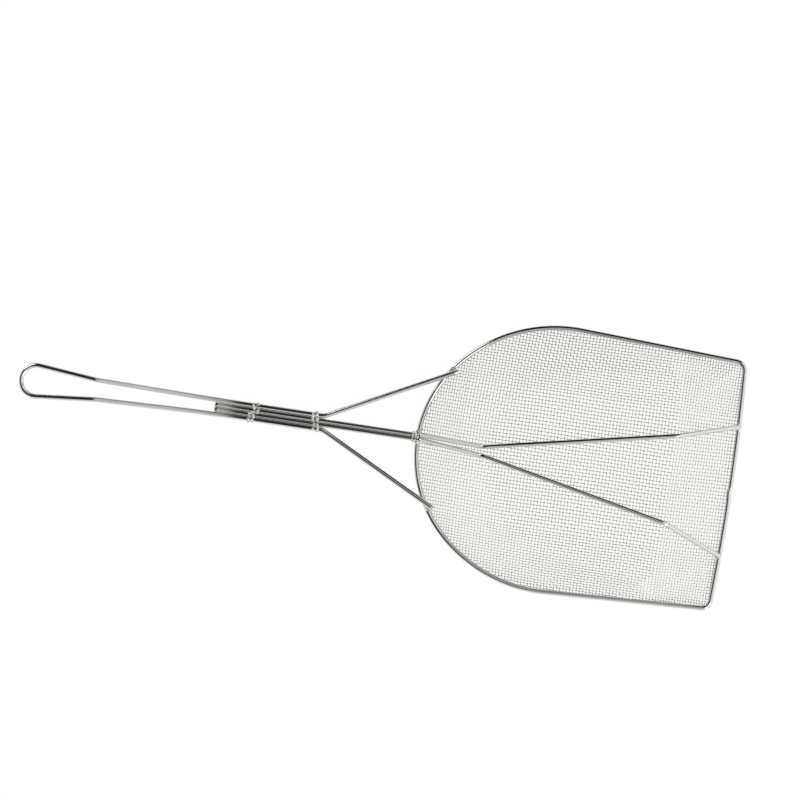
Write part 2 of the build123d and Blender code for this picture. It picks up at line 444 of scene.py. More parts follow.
@dataclass
class ShovelOutline:
    """A shovel outline in plan: a round back, wider flanks, straight sides and a bowed front.

    The back arc reaches the back angle to each side, the sides slope by the side angle, and the
    front arc stands its bow further forward in the middle than at the corners.
    """

    back: float
    back_radius: float
    back_angle: float
    flank_radius: float
    side_angle: float
    front: float
    bow: float
    corner: float
    front_points: int = 90
    corner_points: int = 24
    step: float = 1.5
    parcels: int = 40

    def __post_init__(self) -> None:
        """Work out the centres of the arcs from the named sizes."""
        slope = radians(self.side_angle)
        back = radians(self.back_angle)
        self.back_center = np.array([self.back + self.back_radius, 0.0])
        offset = self.flank_radius - self.back_radius
        self.flank_center = self.back_center + offset * np.array([cos(back), -sin(back)])
        self.joint = pi - back
        self.shoulder = pi / 2 + slope
        along = np.array([cos(slope), sin(slope)])
        inward = np.array([along[1], -along[0]])
        side_start = self.flank_center + self.flank_radius * np.array(
            [cos(self.shoulder), sin(self.shoulder)]
        )
        corner_y = side_start[1] + (self.front - self.bow - side_start[0]) * tan(slope)
        self.front_radius = (self.bow**2 + corner_y**2) / (2 * self.bow)
        self.front_center = np.array([self.front - self.front_radius, 0.0])
        start = side_start + inward * self.corner - self.front_center
        half_b = start @ along
        reach = sqrt(half_b**2 - start @ start + (self.front_radius - self.corner) ** 2) - half_b
        self.corner_center = self.front_center + start + along * reach
        outward = self.corner_center - self.front_center
        self.front_end = atan2(outward[1], outward[0])

    def half(self, inset: float, front_start: float = 0.0) -> Array:
        """Left half from the front edge round to the back.

        Args:
            inset: How far inside the outline the line runs.
            front_start: The y at which the front arc starts.

        Returns:
            Plan points in order.
        """
        front_r, corner_r = self.front_radius - inset, self.corner - inset
        start = asin(front_start / front_r)
        turns = (self.front_end, self.shoulder)
        return np.concatenate(
            [
                arc(self.front_center, front_r, start, self.front_end, self.front_points),
                arc(self.corner_center, corner_r, *turns, self.corner_points)[1:],
                arc(self.flank_center, self.flank_radius - inset, self.shoulder, self.joint),
                arc(self.back_center, self.back_radius - inset, self.joint, pi)[1:],
            ]
        )

    def front_x(self, y: float) -> float:
        """Place of the front edge along the handle, at y."""
        return self.front_center[0] + sqrt(self.front_radius**2 - y**2)

    def closed(self, inset: float) -> Array:
        """Whole outline, anticlockwise, without a doubled first point."""
        left = self.half(inset)
        right = left[::-1][1:-1] * [1.0, -1.0]
        return resampled(np.concatenate([left, right, left[:1]]), self.step)[:-1]

    def outside(self, x: Array, y: Array, inset: float) -> Array:
        """Signed distance from the outline, negative inside.

        The outline is convex, so the distance is the greatest of the distances from its edges.

        Args:
            x: Plan places along the handle.
            y: Plan places across it.
            inset: How far inside the outline the line runs.

        Returns:
            The distances, in the shape of x.
        """
        line = self.closed(inset)
        edge = np.roll(line, -1, axis=0) - line
        normal = unit(np.stack([edge[:, 1], -edge[:, 0]], axis=1))
        level = np.sum(normal * line, axis=1)
        flat = np.stack([np.ravel(x), np.ravel(y)], axis=1)
        parcels = np.array_split(flat, self.parcels)
        parts = [np.max(parcel @ normal.T - level, axis=1) for parcel in parcels]
        return np.concatenate(parts).reshape(np.shape(x))


def soft_min(a: Array, b: Array, reach: float) -> Array:
    """Least of two heights, with the corner between them rounded over the reach."""
    blend = np.maximum(reach - np.abs(a - b), 0) / reach
    return np.minimum(a, b) - blend**2 * reach / 4


@dataclass
class RimWire:
    """One round wire round the mouth, its ends meeting in the front edge."""

    radius: float = 2.375
    height: float = 3.875
    joint_y: float = -3.4
    joint_gap: float = 0.5
    joint_step: float = 0.9
    step_run: float = 9.0
    ring_step: float = 2.0
    sides: int = 28
    line: ShovelOutline = field(
        default_factory=lambda: ShovelOutline(
            back=0.0,
            back_radius=116.2,
            back_angle=43.5,
            flank_radius=134.6,
            side_angle=-3.0,
            front=291.0,
            bow=3.2,
            corner=8.0,
        )
    )

    def path(self) -> Array:
        """Centre line, whose right end lies a little further in than its left one."""
        left = self.line.half(0.0, self.joint_y + self.joint_gap / 2)
        right = self.line.half(0.0, -(self.joint_y - self.joint_gap / 2))
        near = np.exp(-(((right[:, 1] + self.joint_y) / self.step_run) ** 2))
        near[right[:, 0] < self.line.front - self.line.bow] = 0.0
        right[:, 0] -= self.joint_step * near
        plan = np.concatenate([left, (right[::-1] * [1.0, -1.0])[1:]])
        return np.column_stack([plan, np.full(len(plan), self.height)])

    def build(self, material: bpy.types.Material) -> bpy.types.Object:
        """Make the wire as a circle carried along its centre line."""
        skin = Skin()
        line, radii = wire_path(self.path(), self.radius, self.ring_step)
        skin.add_tube(line, radii, self.sides)
        return skin.build("rim_wire_bright", material)


@dataclass
class HandleWires:
    """The handle wire with its loop and braces, and the two support wires that lie in it."""

    rim: RimWire
    # The wires, and how far to the left of the middle the handle lies.
    handle_radius: float = 2.375
    support_radius: float = 2.05
    offset: float = 2.4
    # The level part of the handle and its rise towards the loop.
    handle_z: float = 8.725
    support_z: float = 8.4
    rise: float = 24.0
    rise_radius: float = 290.0
    rise_corner: float = 195.0
    leg_length: float = 104.5
    # The loop, and the bends at which its legs start to part.
    loop_reach: float = 70.6
    loop_radius: float = 14.4
    kink_half_gap: float = 9.05
    kink_radius: float = 14.0
    # The braces.
    brace_root: float = -88.0
    brace_angle: float = 26.8
    brace_radius: float = 10.0
    brace_overhang: float = 11.0
    # The support wires: in the handle, over the dish and at the front edge.
    pair_y: float = 2.1
    pair_tail: float = 191.0
    back_bend_x: float = 3.0
    flat_back_x: float = 63.5
    flat_front_x: float = 236.4
    flat_z: float = 48.725
    back_half_gap: float = 4.0
    front_half_gap: float = 40.0
    support_bend_radius: float = 7.0
    front_ends: tuple[float, float] = (55.5, 65.0)
    end_past_rim: float = 1.0
    # Points, and distances between the rings of the skins.
    tail_points: int = 30
    handle_step: float = 2.0
    support_step: float = 1.5
    sides: int = 28

    def __post_init__(self) -> None:
        """Work out the places that follow from the sizes."""
        gap = self.handle_radius + self.support_radius + CONTACT_GAP
        self.outer_y = self.pair_y + sqrt(gap**2 - (self.handle_z - self.support_z) ** 2)
        self.rise_turn = atan2(self.rise, self.leg_length)
        self.rise_start = self.rise_corner - self.rise_radius * tan(self.rise_turn / 2)
        self.kink_back = self.rise_corner + self.leg_length
        self.loop_end = self.kink_back + self.loop_reach

    def risen(self, x: Array, z: float) -> Array:
        """Height at x of a wire that runs level at z in front of the long bend."""
        run = np.maximum(0, -self.rise_start - np.asarray(x))
        return z + self.rise_radius - np.sqrt(self.rise_radius**2 - run**2)

    def crossing(self, side: int) -> Array:
        """Point where a brace crosses the centre line of the rim."""
        slope = tan(radians(self.brace_angle))
        level = self.outer_y + side * self.offset - slope * self.brace_root
        half_b = slope * level - self.rim.line.back_radius
        square = 1 + slope**2
        x = (-half_b - sqrt(half_b**2 - square * level**2)) / square
        return np.array([x, side * (level + slope * x), self.handle_z])

    def handle_path(self) -> Array:
        """Left brace, left leg, loop, right leg and right brace, as one line."""
        center_x = self.loop_radius - self.loop_end
        reach = self.loop_reach - self.loop_radius
        lean = asin(self.loop_radius / hypot(reach, self.kink_half_gap)) - atan2(
            self.kink_half_gap, reach
        )
        loop_z = self.handle_z + self.rise
        legs = []
        for side in (1, -1):
            angle = radians(self.brace_angle)
            tip = self.crossing(side) + self.brace_overhang * np.array(
                [cos(angle), side * sin(angle), 0]
            )
            root_y = self.offset + side * self.outer_y
            kink_y = self.offset + side * self.kink_half_gap
            touch_x = center_x + self.loop_radius * sin(lean)
            touch_y = self.offset + side * self.loop_radius * cos(lean)
            corners = np.array(
                [
                    tip,
                    [self.brace_root, root_y, self.handle_z],
                    [-self.rise_corner, root_y, self.handle_z],
                    [-self.kink_back, kink_y, loop_z],
                    [touch_x, touch_y, loop_z],
                ]
            )
            legs.append(rounded(corners, [self.brace_radius, self.rise_radius, self.kink_radius]))
        start, end = pi / 2 - lean, 3 * pi / 2 + lean
        plan = arc(np.array([center_x, self.offset]), self.loop_radius, start, end)
        loop = np.column_stack([plan, np.full(len(plan), loop_z)])
        return np.concatenate([legs[0], loop[1:-1], legs[1][::-1]])

    def support_path(self, side: int, front_end: float) -> Array:
        """Tail in the handle, over the rim and the dish, to the front edge.

        Args:
            side: 1 for left, -1 for right.
            front_end: How far from the middle the wire meets the front edge.

        Returns:
            Points of the centre line.
        """
        tail_y = self.offset + side * self.pair_y
        tail_x = np.linspace(-self.pair_tail, -self.rise_start, self.tail_points)
        tail_z = self.risen(tail_x, self.support_z)
        tail = np.column_stack([tail_x, np.full(self.tail_points, tail_y), tail_z])
        end_x = self.rim.line.front_x(front_end) + self.end_past_rim
        contact = self.rim.radius + CONTACT_GAP + self.support_radius
        end_z = self.rim.height + sqrt(contact**2 - self.end_past_rim**2)
        corners = np.array(
            [
                [-self.rise_start, tail_y, self.support_z],
                [self.back_bend_x, tail_y, self.support_z],
                [self.flat_back_x, side * self.back_half_gap, self.flat_z],
                [self.flat_front_x, side * self.front_half_gap, self.flat_z],
                [end_x, side * front_end, end_z],
            ]
        )
        return np.concatenate([tail[:-1], rounded(corners, [self.support_bend_radius] * 3)])

    def build(self, material: bpy.types.Material) -> list[tuple[bpy.types.Object, str]]:
        """Make the three wires.

        Args:
            material: The finish of bright wire.

        Returns:
            Each piece with the node that it stands for.
        """
        made = []
        skin = Skin()
        path = wire_path(self.handle_path(), self.handle_radius, self.handle_step)
        skin.add_tube(*path, self.sides)
        made.append((skin.build("handle_wire_bright", material), "handle_wire"))
        for side, name, end in zip((1, -1), ("left", "right"), self.front_ends):
            skin = Skin()
            path = wire_path(self.support_path(side, end), self.support_radius, self.support_step)
            skin.add_tube(*path, self.sides)
            piece = skin.build(f"{name}_support_wire_bright", material)
            made.append((piece, f"{name}_support_wire"))
        return made


@dataclass
class WovenBasket:
    """Plain-woven wire cloth pressed to a dish: warp along the handle, weft across it."""

    # The weave. Outside the core numbers the wires stand closer by the wall share.
    wire: float = 0.7
    warp_pitch: float = 3.17
    weft_pitch: float = 3.05
    wall_share: float = 0.83
    warp_core: tuple[int, int] = (-20, 20)
    weft_core: tuple[int, int] = (16, 80)
    numbers: tuple[int, int] = (-60, 160)
    samples: int = 4
    sides: int = 6
    # The dish: its two heights, its hem and how softly it bends.
    hem_z: float = 0.75
    flat_z: float = 45.85
    hem_inside: float = 2.1
    hem_outside: float = 1.2
    edge_reach: float = 3.3
    hem_reach: float = 0.8
    least_wall_run: float = 8.0
    # The slow waves of the pressed cloth.
    sway: float = 0.35
    waves: tuple[tuple[tuple[float, float, float], ...], ...] = (
        ((21.0, 13.0, 0.0), (-17.0, 27.0, 1.3)),
        ((-15.0, 19.0, 0.7), (25.0, 31.0, 2.1)),
    )
    # The grid that holds the heights, and the reach over which a slope is read.
    grid: float = 1.5
    grid_back: float = -6.0
    grid_front: float = 300.0
    grid_half_width: float = 129.0
    slope_reach: float = 1.0
    flat: ShovelOutline = field(
        default_factory=lambda: ShovelOutline(
            back=67.0,
            back_radius=76.0,
            back_angle=40.0,
            flank_radius=110.0,
            side_angle=8.0,
            front=236.4,
            bow=2.0,
            corner=14.0,
        )
    )
    # Name of each piece, its first wire and the one after its last.
    warp_pieces: tuple[tuple[str, int, int], ...] = (
        ("warp_right", -50, -14),
        ("warp_middle", -14, 15),
        ("warp_left", 15, 51),
    )
    weft_pieces: tuple[tuple[str, int, int], ...] = (
        ("weft_back", -1, 34),
        ("weft_middle", 34, 67),
        ("weft_front", 67, 110),
    )

    def shape(self, mouth: ShovelOutline) -> None:
        """Work out the height of the dish on a grid.

        The height rises in step with the share of the way from the hem to the flat's outline,
        and two soft minima round the edge of the flat and the foot of the wall.

        Args:
            mouth: Outline of the rim.
        """
        half = self.grid_half_width
        self.edge = mouth.closed(-self.hem_outside)
        self.grid_x = np.arange(self.grid_back, self.grid_front, self.grid)
        self.grid_y = np.arange(-half, half + self.grid / 2, self.grid)
        x, y = np.meshgrid(self.grid_x, self.grid_y, indexing="ij")
        from_hem = -mouth.outside(x, y, self.hem_inside)
        from_flat = self.flat.outside(x, y, 0.0)
        share = from_hem / np.maximum(from_hem + from_flat, self.least_wall_run)
        height = self.hem_z + (self.flat_z - self.hem_z) * share
        height = soft_min(height, np.full_like(height, self.flat_z), self.edge_reach)
        self.height = -soft_min(-height, np.full_like(height, -self.hem_z), self.hem_reach)

    def surface(self, x: Array, y: Array) -> tuple[Array, Array]:
        """Height and normal of the dish, read from the grid by bilinear interpolation.

        Args:
            x: Plan places along the handle.
            y: Plan places across it.

        Returns:
            Heights, and unit normals one a row.
        """

        def read(px: Array, py: Array) -> Array:
            """Bilinear height at a place."""
            fx = np.clip((px - self.grid_x[0]) / self.grid, 0, len(self.grid_x) - 1 - TINY)
            fy = np.clip((py - self.grid_y[0]) / self.grid, 0, len(self.grid_y) - 1 - TINY)
            i, j = fx.astype(int), fy.astype(int)
            a, b = fx - i, fy - j
            h = self.height
            return (
                h[i, j] * (1 - a) * (1 - b)
                + h[i + 1, j] * a * (1 - b)
                + h[i, j + 1] * (1 - a) * b
                + h[i + 1, j + 1] * a * b
            )

        z = read(x, y)
        reach = self.slope_reach
        slope_x = (read(x + reach, y) - read(x - reach, y)) / (2 * reach)
        slope_y = (read(x, y + reach) - read(x, y - reach)) / (2 * reach)
        return z, unit(np.stack([-slope_x, -slope_y, np.ones_like(z)], axis=1))

    def swayed(self, x: Array, y: Array) -> tuple[Array, Array]:
        """Move plan places by slow waves, because pressed cloth is never quite square.

        The shift along each axis is the sway times the mean of two sines. Each is the sine of x
        over a length, plus y over a length, plus a start angle, as the table of waves gives them.
        The wavelengths lie between 70 and 120 mm.
        """
        moved = []
        for place, pair in zip((x, y), self.waves):
            sines = [np.sin(x / over_x + y / over_y + start) for over_x, over_y, start in pair]
            moved.append(place + self.sway * sum(sines) / len(pair))
        return moved[0], moved[1]

    def span(self, value: float, axis: int) -> tuple[float, float]:
        """Where the straight line at a value of one plan axis enters and leaves the cloth.

        Args:
            value: Place on the axis that stays the same.
            axis: 0 for a line across at one x, 1 for a line along at one y.

        Returns:
            The two ends on the other axis, or equal ends where the line misses the cloth.
        """
        line = self.edge
        nxt = np.roll(line, -1, axis=0)
        a, b = line[:, axis] - value, nxt[:, axis] - value
        hit = (a <= 0) != (b <= 0)
        if not hit.any():
            return 0.0, 0.0
        share = a[hit] / (a[hit] - b[hit])
        other = line[hit, 1 - axis] + share * (nxt[hit, 1 - axis] - line[hit, 1 - axis])
        return float(other.min()), float(other.max())

    def places(self, axis: int) -> tuple[Array, Array]:
        """Numbers of the wires of one kind, and where each lies in plan.

        The wires stand a pitch apart over the flat, and a fixed share of it on the sloping
        walls, where the pressed cloth is seen aslant.

        Args:
            axis: 1 for warp wires, 0 for weft wires.

        Returns:
            The numbers and the places.
        """
        pitch = self.warp_pitch if axis == 1 else self.weft_pitch
        low, high = self.warp_core if axis == 1 else self.weft_core
        index = np.arange(*self.numbers)
        core = np.clip(index, low, high)
        start = 0.0 if axis == 1 else low * (1 - self.wall_share) * pitch
        return index, core * pitch + (index - core) * pitch * self.wall_share - start

    def wire_line(self, index: int, axis: int) -> Array | None:
        """Centre line of one woven wire.

        Its height waves as a cosine with a period of two pitches of the wires that it crosses,
        and the next wire of its kind waves the other way.

        Args:
            index: Which wire, counted from the middle or from the back of the rim.
            axis: 1 for a warp wire, along the handle, and 0 for a weft wire, across it.

        Returns:
            Points of the line, or None where it misses the cloth.
        """
        place = float(np.interp(index, *self.places(axis)))
        numbers, crossed = self.places(1 - axis)
        low, high = self.span(place, axis)
        if high - low < 2 * self.warp_pitch:
            return None
        first, last = np.interp([low, high], crossed, numbers)
        count = np.linspace(first, last, int(np.ceil((last - first) * self.samples)) + 1)
        run = np.interp(count, numbers, crossed)
        still = np.full(len(run), place)
        x, y = (run, still) if axis == 1 else (still, run)
        flip = 1 if axis == 1 else -1
        wave = flip * np.cos(pi * count + pi * index) * self.wire / 2
        x, y = self.swayed(x, y)
        z, normal = self.surface(x, y)
        return np.column_stack([x, y, z]) + normal * wave[:, None]

    def build(self, mouth: ShovelOutline, material: bpy.types.Material) -> list[bpy.types.Object]:
        """Make the cloth in six pieces, three of warp wires and three of weft wires.

        Args:
            mouth: Outline of the rim.
            material: The finish of the cloth.

        Returns:
            The six pieces.
        """
        self.shape(mouth)
        made = []
        for axis, pieces in ((1, self.warp_pieces), (0, self.weft_pieces)):
            for name, first, last in pieces:
                skin = Skin()
                lines = [self.wire_line(index, axis) for index in range(first, last)]
                for line in lines:
                    if line is not None:
                        skin.add_tube(line, np.full(len(line) - 2, self.wire / 2), self.sides)
                made.append(skin.build(f"woven_cloth_{name}", material))
        return made


@dataclass(frozen=True)
class Chain:
    """How the drops of one bead are set along its line, and how far above it."""

    spacing: float
    radius: float
    jitter: float
    lift: float


@dataclass
class WeldBeads:
    """Bright lumpy weld metal: each bead is a chain of drops set along a line."""

    # The drops.
    seed: int = 5
    sides: int = 14
    rings: int = 10
    least_drop_share: float = 0.6
    most_drop_share: float = 1.3
    squash_share: float = 0.85
    swell_share: float = 0.13
    dent_share: float = 0.08
    # The two beads across the handle.
    line_step: float = 0.5
    line_lift: float = 0.15
    rear_plan: Pairs = ((-152.8, 8.6), (-151.8, 2.0), (-155.6, -2.0), (-155.8, -8.6))
    rear_gap: float = 4.2
    front_plan: Pairs = ((-97.2, 8.6), (-95.6, 0.0), (-94.2, -8.6))
    front_gap: float = 4.0
    row: Chain = Chain(spacing=2.0, radius=1.1, jitter=0.65, lift=0.1)
    furrow: Chain = Chain(spacing=2.4, radius=0.9, jitter=0.15, lift=-0.75)
    # The cluster at the back of the rim: rows over the support wires, and drops beside them.
    cross: Chain = Chain(spacing=1.9, radius=0.95, jitter=0.35, lift=0.0)
    cross_places: tuple[float, ...] = (-4.3, -1.6, 0.4)
    cross_overrun: float = 0.8
    cross_points: int = 13
    corner_drops: Pairs = ((-1.5, 5.0), (1.2, 4.9), (-1.2, -5.2), (1.6, -5.0), (-5.4, 0.0), (1.8, 0.2))
    corner_lift: float = 0.5
    corner_radius: float = 1.5
    # The beads beside the braces, and how far along the rim they run from the crossing.
    brace: Chain = Chain(spacing=1.5, radius=1.2, jitter=0.2, lift=-0.2)
    brace_run: tuple[float, float] = (4.4, 8.2)
    brace_outside: float = 0.7
    brace_points: int = 4
    # The ends of the support wires.
    end_drops: Pairs = ((1.4, 0.0), (0.6, 2.4), (0.4, -2.4), (1.2, 1.3), (1.2, -1.2))
    end_lift: float = 0.1
    end_radii: tuple[float, float] = (1.5, 1.3)
    # The butt joint: place and radius of each drop.
    butt_drops: tuple[tuple[float, float, float, float], ...] = (
        (-0.4, 0.0, 0.0, 2.35),
        (0.9, 0.3, 0.9, 1.3),
        (-1.2, -0.9, 0.8, 1.2),
    )

    def __post_init__(self) -> None:
        """Start the one source of random numbers."""
        self.random = np.random.default_rng(self.seed)

    def add_drop(self, skin: Skin, center: Array, radius: float, stretch: float = 1.0) -> None:
        """Add a lumpy drop: a sphere whose radius swells and dips with two waves round it.

        Args:
            skin: The skin that gets the drop.
            center: Its middle.
            radius: Its mean radius.
            stretch: Its height as a share of its width.
        """
        turn = self.random.uniform(0, 2 * pi)
        lean = self.random.uniform(0, 2 * pi)
        heading = np.array([cos(turn), sin(turn), 0.0])
        theta = np.linspace(0, pi, self.rings + 2)
        line = np.asarray(center) - heading * (radius * np.cos(theta))[:, None]
        phi = 2 * pi * np.arange(self.sides) / self.sides
        inner = theta[1:-1, None]
        lumps = 1 + self.swell_share * np.sin(2 * phi + lean) * np.sin(inner)
        lumps = lumps + self.dent_share * np.sin(3 * phi - lean) * np.sin(2 * inner)
        squash = 1 + (stretch - 1) * np.sin(phi - pi / 2) ** 2
        skin.add_tube(line, radius * np.sin(inner) * lumps * squash, self.sides)

    def add_chain(self, skin: Skin, line: Array, chain: Chain) -> None:
        """Set drops along a line, each moved and resized a little at random.

        Args:
            skin: The skin that gets the drops.
            line: The line that they follow.
            chain: Their spacing, size, spread and lift.
        """
        spread = [1.0, 1.0, 0.5]
        for place in resampled(line + [0.0, 0.0, chain.lift], chain.spacing):
            shift = self.random.uniform(-chain.jitter, chain.jitter, 3) * spread
            share = self.random.uniform(self.least_drop_share, self.most_drop_share)
            self.add_drop(skin, place + shift, chain.radius * share, self.squash_share)

    def bundle_line(self, wires: HandleWires, plan: Pairs) -> Array:
        """Line over the tops of the four wires of the handle.

        Its height at y is the highest of the four circles, sqrt(r squared - distance squared)
        above each wire's middle.

        Args:
            wires: The handle that the bead crosses.
            plan: Corners of the bead in plan, x and then y counted from the handle's middle.

        Returns:
            Points of the line.
        """
        flat = resampled(np.array(plan), self.line_step)
        tops = []
        for y, z, r in (
            (wires.outer_y, wires.handle_z, wires.handle_radius),
            (wires.pair_y, wires.support_z, wires.support_radius),
        ):
            for side in (1, -1):
                rest = np.maximum(r**2 - (flat[:, 1] - side * y) ** 2, 0.0)
                tops.append(z + np.sqrt(rest))
        z = np.max(tops, axis=0) + self.line_lift
        return np.column_stack([flat[:, 0], flat[:, 1] + wires.offset, z])

    def bundle(
        self, name: str, wires: HandleWires, plan: Pairs, gap: float, material: bpy.types.Material
    ) -> bpy.types.Object:
        """Make a bead across the handle: two rows of drops with a dark furrow between them.

        Args:
            name: The piece's name.
            wires: The handle that the bead crosses.
            plan: Corners of the bead's middle line in plan.
            gap: Distance between the two rows.
            material: The finish of weld metal.

        Returns:
            The bead.
        """
        skin = Skin()
        line = self.bundle_line(wires, plan)
        for side in (-1, 1):
            self.add_chain(skin, line + [side * gap / 2, 0.0, 0.0], self.row)
        self.add_chain(skin, line, self.furrow)
        return skin.build(name, material)

    def rim_back(self, wires: HandleWires, material: bpy.types.Material) -> bpy.types.Object:
        """Make the cluster where the support pair crosses the back of the rim."""
        rim = wires.rim
        skin = Skin()
        half = wires.pair_y + wires.support_radius + self.cross_overrun
        y = np.linspace(-half, half, self.cross_points)
        near = np.abs(np.abs(y) - wires.pair_y)
        top = wires.support_z + np.sqrt(np.maximum(wires.support_radius**2 - near**2, 0.0))
        for x in self.cross_places:
            line = np.column_stack([np.full(self.cross_points, x), y + wires.offset, top])
            self.add_chain(skin, line, self.cross)
        for x, y in self.corner_drops:
            place = np.array([x, y + wires.offset, rim.height + rim.radius + self.corner_lift])
            self.add_drop(skin, place, self.corner_radius)
        return skin.build("rim_back_beads", material)

    def brace_bead(
        self, side: int, name: str, wires: HandleWires, material: bpy.types.Material
    ) -> bpy.types.Object:
        """Make the bead on the outer side of the rim, just in front of a brace.

        Args:
            side: 1 for left, -1 for right.
            name: The piece's name.
            wires: The handle wires that hold the brace and the rim.
            material: The finish of weld metal.

        Returns:
            The bead.
        """
        rim = wires.rim
        back = rim.line.back_radius
        cross = wires.crossing(side)
        start = atan2(abs(cross[1]), back - cross[0])
        angles = start + np.linspace(*self.brace_run, self.brace_points) / back
        reach = back + self.brace_outside
        top = np.full(self.brace_points, rim.height + rim.radius)
        line = np.column_stack([back - reach * np.cos(angles), side * reach * np.sin(angles), top])
        skin = Skin()
        self.add_chain(skin, line, self.brace)
        return skin.build(name, material)

    def build(
        self, wires: HandleWires, material: bpy.types.Material
    ) -> list[tuple[bpy.types.Object, str]]:
        """Make the eight beads.

        Args:
            wires: The handle wires that they join, and the rim that those lie on.
            material: The finish of weld metal.

        Returns:
            Each piece with the node that it stands for.
        """
        rim = wires.rim
        made = []
        piece = self.bundle("rear_bundle_beads", wires, self.rear_plan, self.rear_gap, material)
        made.append((piece, "rear_bundle_weld"))
        piece = self.bundle("front_bundle_beads", wires, self.front_plan, self.front_gap, material)
        made.append((piece, "front_bundle_weld"))
        made.append((self.rim_back(wires, material), "rim_back_weld"))

        for side, name in ((1, "left"), (-1, "right")):
            piece = self.brace_bead(side, f"{name}_brace_beads", wires, material)
            made.append((piece, f"{name}_brace_weld"))

        line = rim.line
        z = rim.height + rim.radius + self.end_lift
        ends = zip((1, -1), ("left", "right"), wires.front_ends, self.end_radii)
        for side, name, end, radius in ends:
            x = line.front_x(end)
            skin = Skin()
            for dx, dy in self.end_drops:
                self.add_drop(skin, np.array([x + dx, side * end + dy, z]), radius)
            made.append((skin.build(f"{name}_support_beads", material), f"{name}_support_weld"))

        skin = Skin()
        for dx, dy, dz, radius in self.butt_drops:
            place = np.array([line.front + dx, rim.joint_y + dy, rim.height + dz])
            self.add_drop(skin, place, radius)
        made.append((skin.build("rim_butt_beads", material), "rim_butt_weld"))
        return made


@dataclass
class PhotoCamera:
    """The camera of the photograph, found by fitting the rim and the handle to it.

    Angles are in degrees, and lengths in millimetres where no unit is named.
    """

    focal_px: float = 2997.0
    width_px: float = 800.0
    sensor: float = 36.0
    distance: float = 2772.2
    turn: float = -8.505
    roll_y: float = -4.942
    roll_x: float = 1.507
    shift_x: float = 16.18
    shift_y: float = -36.55
    base_z: float = 3.875
    far_m: float = 50.0

    def build(self) -> bpy.types.Object:
        """Place the camera: the object's turn is undone about the point that it was fitted at."""
        rotation = (
            Matrix.Rotation(radians(self.turn), 3, "Z")
            @ Matrix.Rotation(radians(self.roll_y), 3, "Y")
            @ Matrix.Rotation(radians(self.roll_x), 3, "X")
        )
        back = rotation.transposed()
        place = back @ (Vector((0, 0, self.distance)) - Vector((self.shift_x, self.shift_y, 0)))
        place = (place + Vector((-MIDDLE_X, 0, self.base_z))) * METRE
        data = bpy.data.cameras.new("photo_camera")
        data.sensor_width = self.sensor
        data.lens = self.focal_px / self.width_px * self.sensor
        data.clip_end = self.far_m
        camera = bpy.data.objects.new("photo_camera", data)
        camera.matrix_world = Matrix.Translation(place) @ back.to_4x4()
        bpy.context.scene.collection.objects.link(camera)
        bpy.context.scene.camera = camera
        return camera


def sheet(
    name: str, corners: list[tuple[float, float, float]], material: bpy.types.Material
) -> bpy.types.Object:
    """Put a flat sheet with four corners in the scene.

    Args:
        name: The sheet's name.
        corners: Its corners in order, in metres.
        material: Its finish.

    Returns:
        The new object.
    """
    mesh = bpy.data.meshes.new(name)
    mesh.from_pydata(corners, [], [(0, 1, 2, 3)])
    mesh.materials.append(material)
    piece = bpy.data.objects.new(name, mesh)
    bpy.context.scene.collection.objects.link(piece)
    return piece


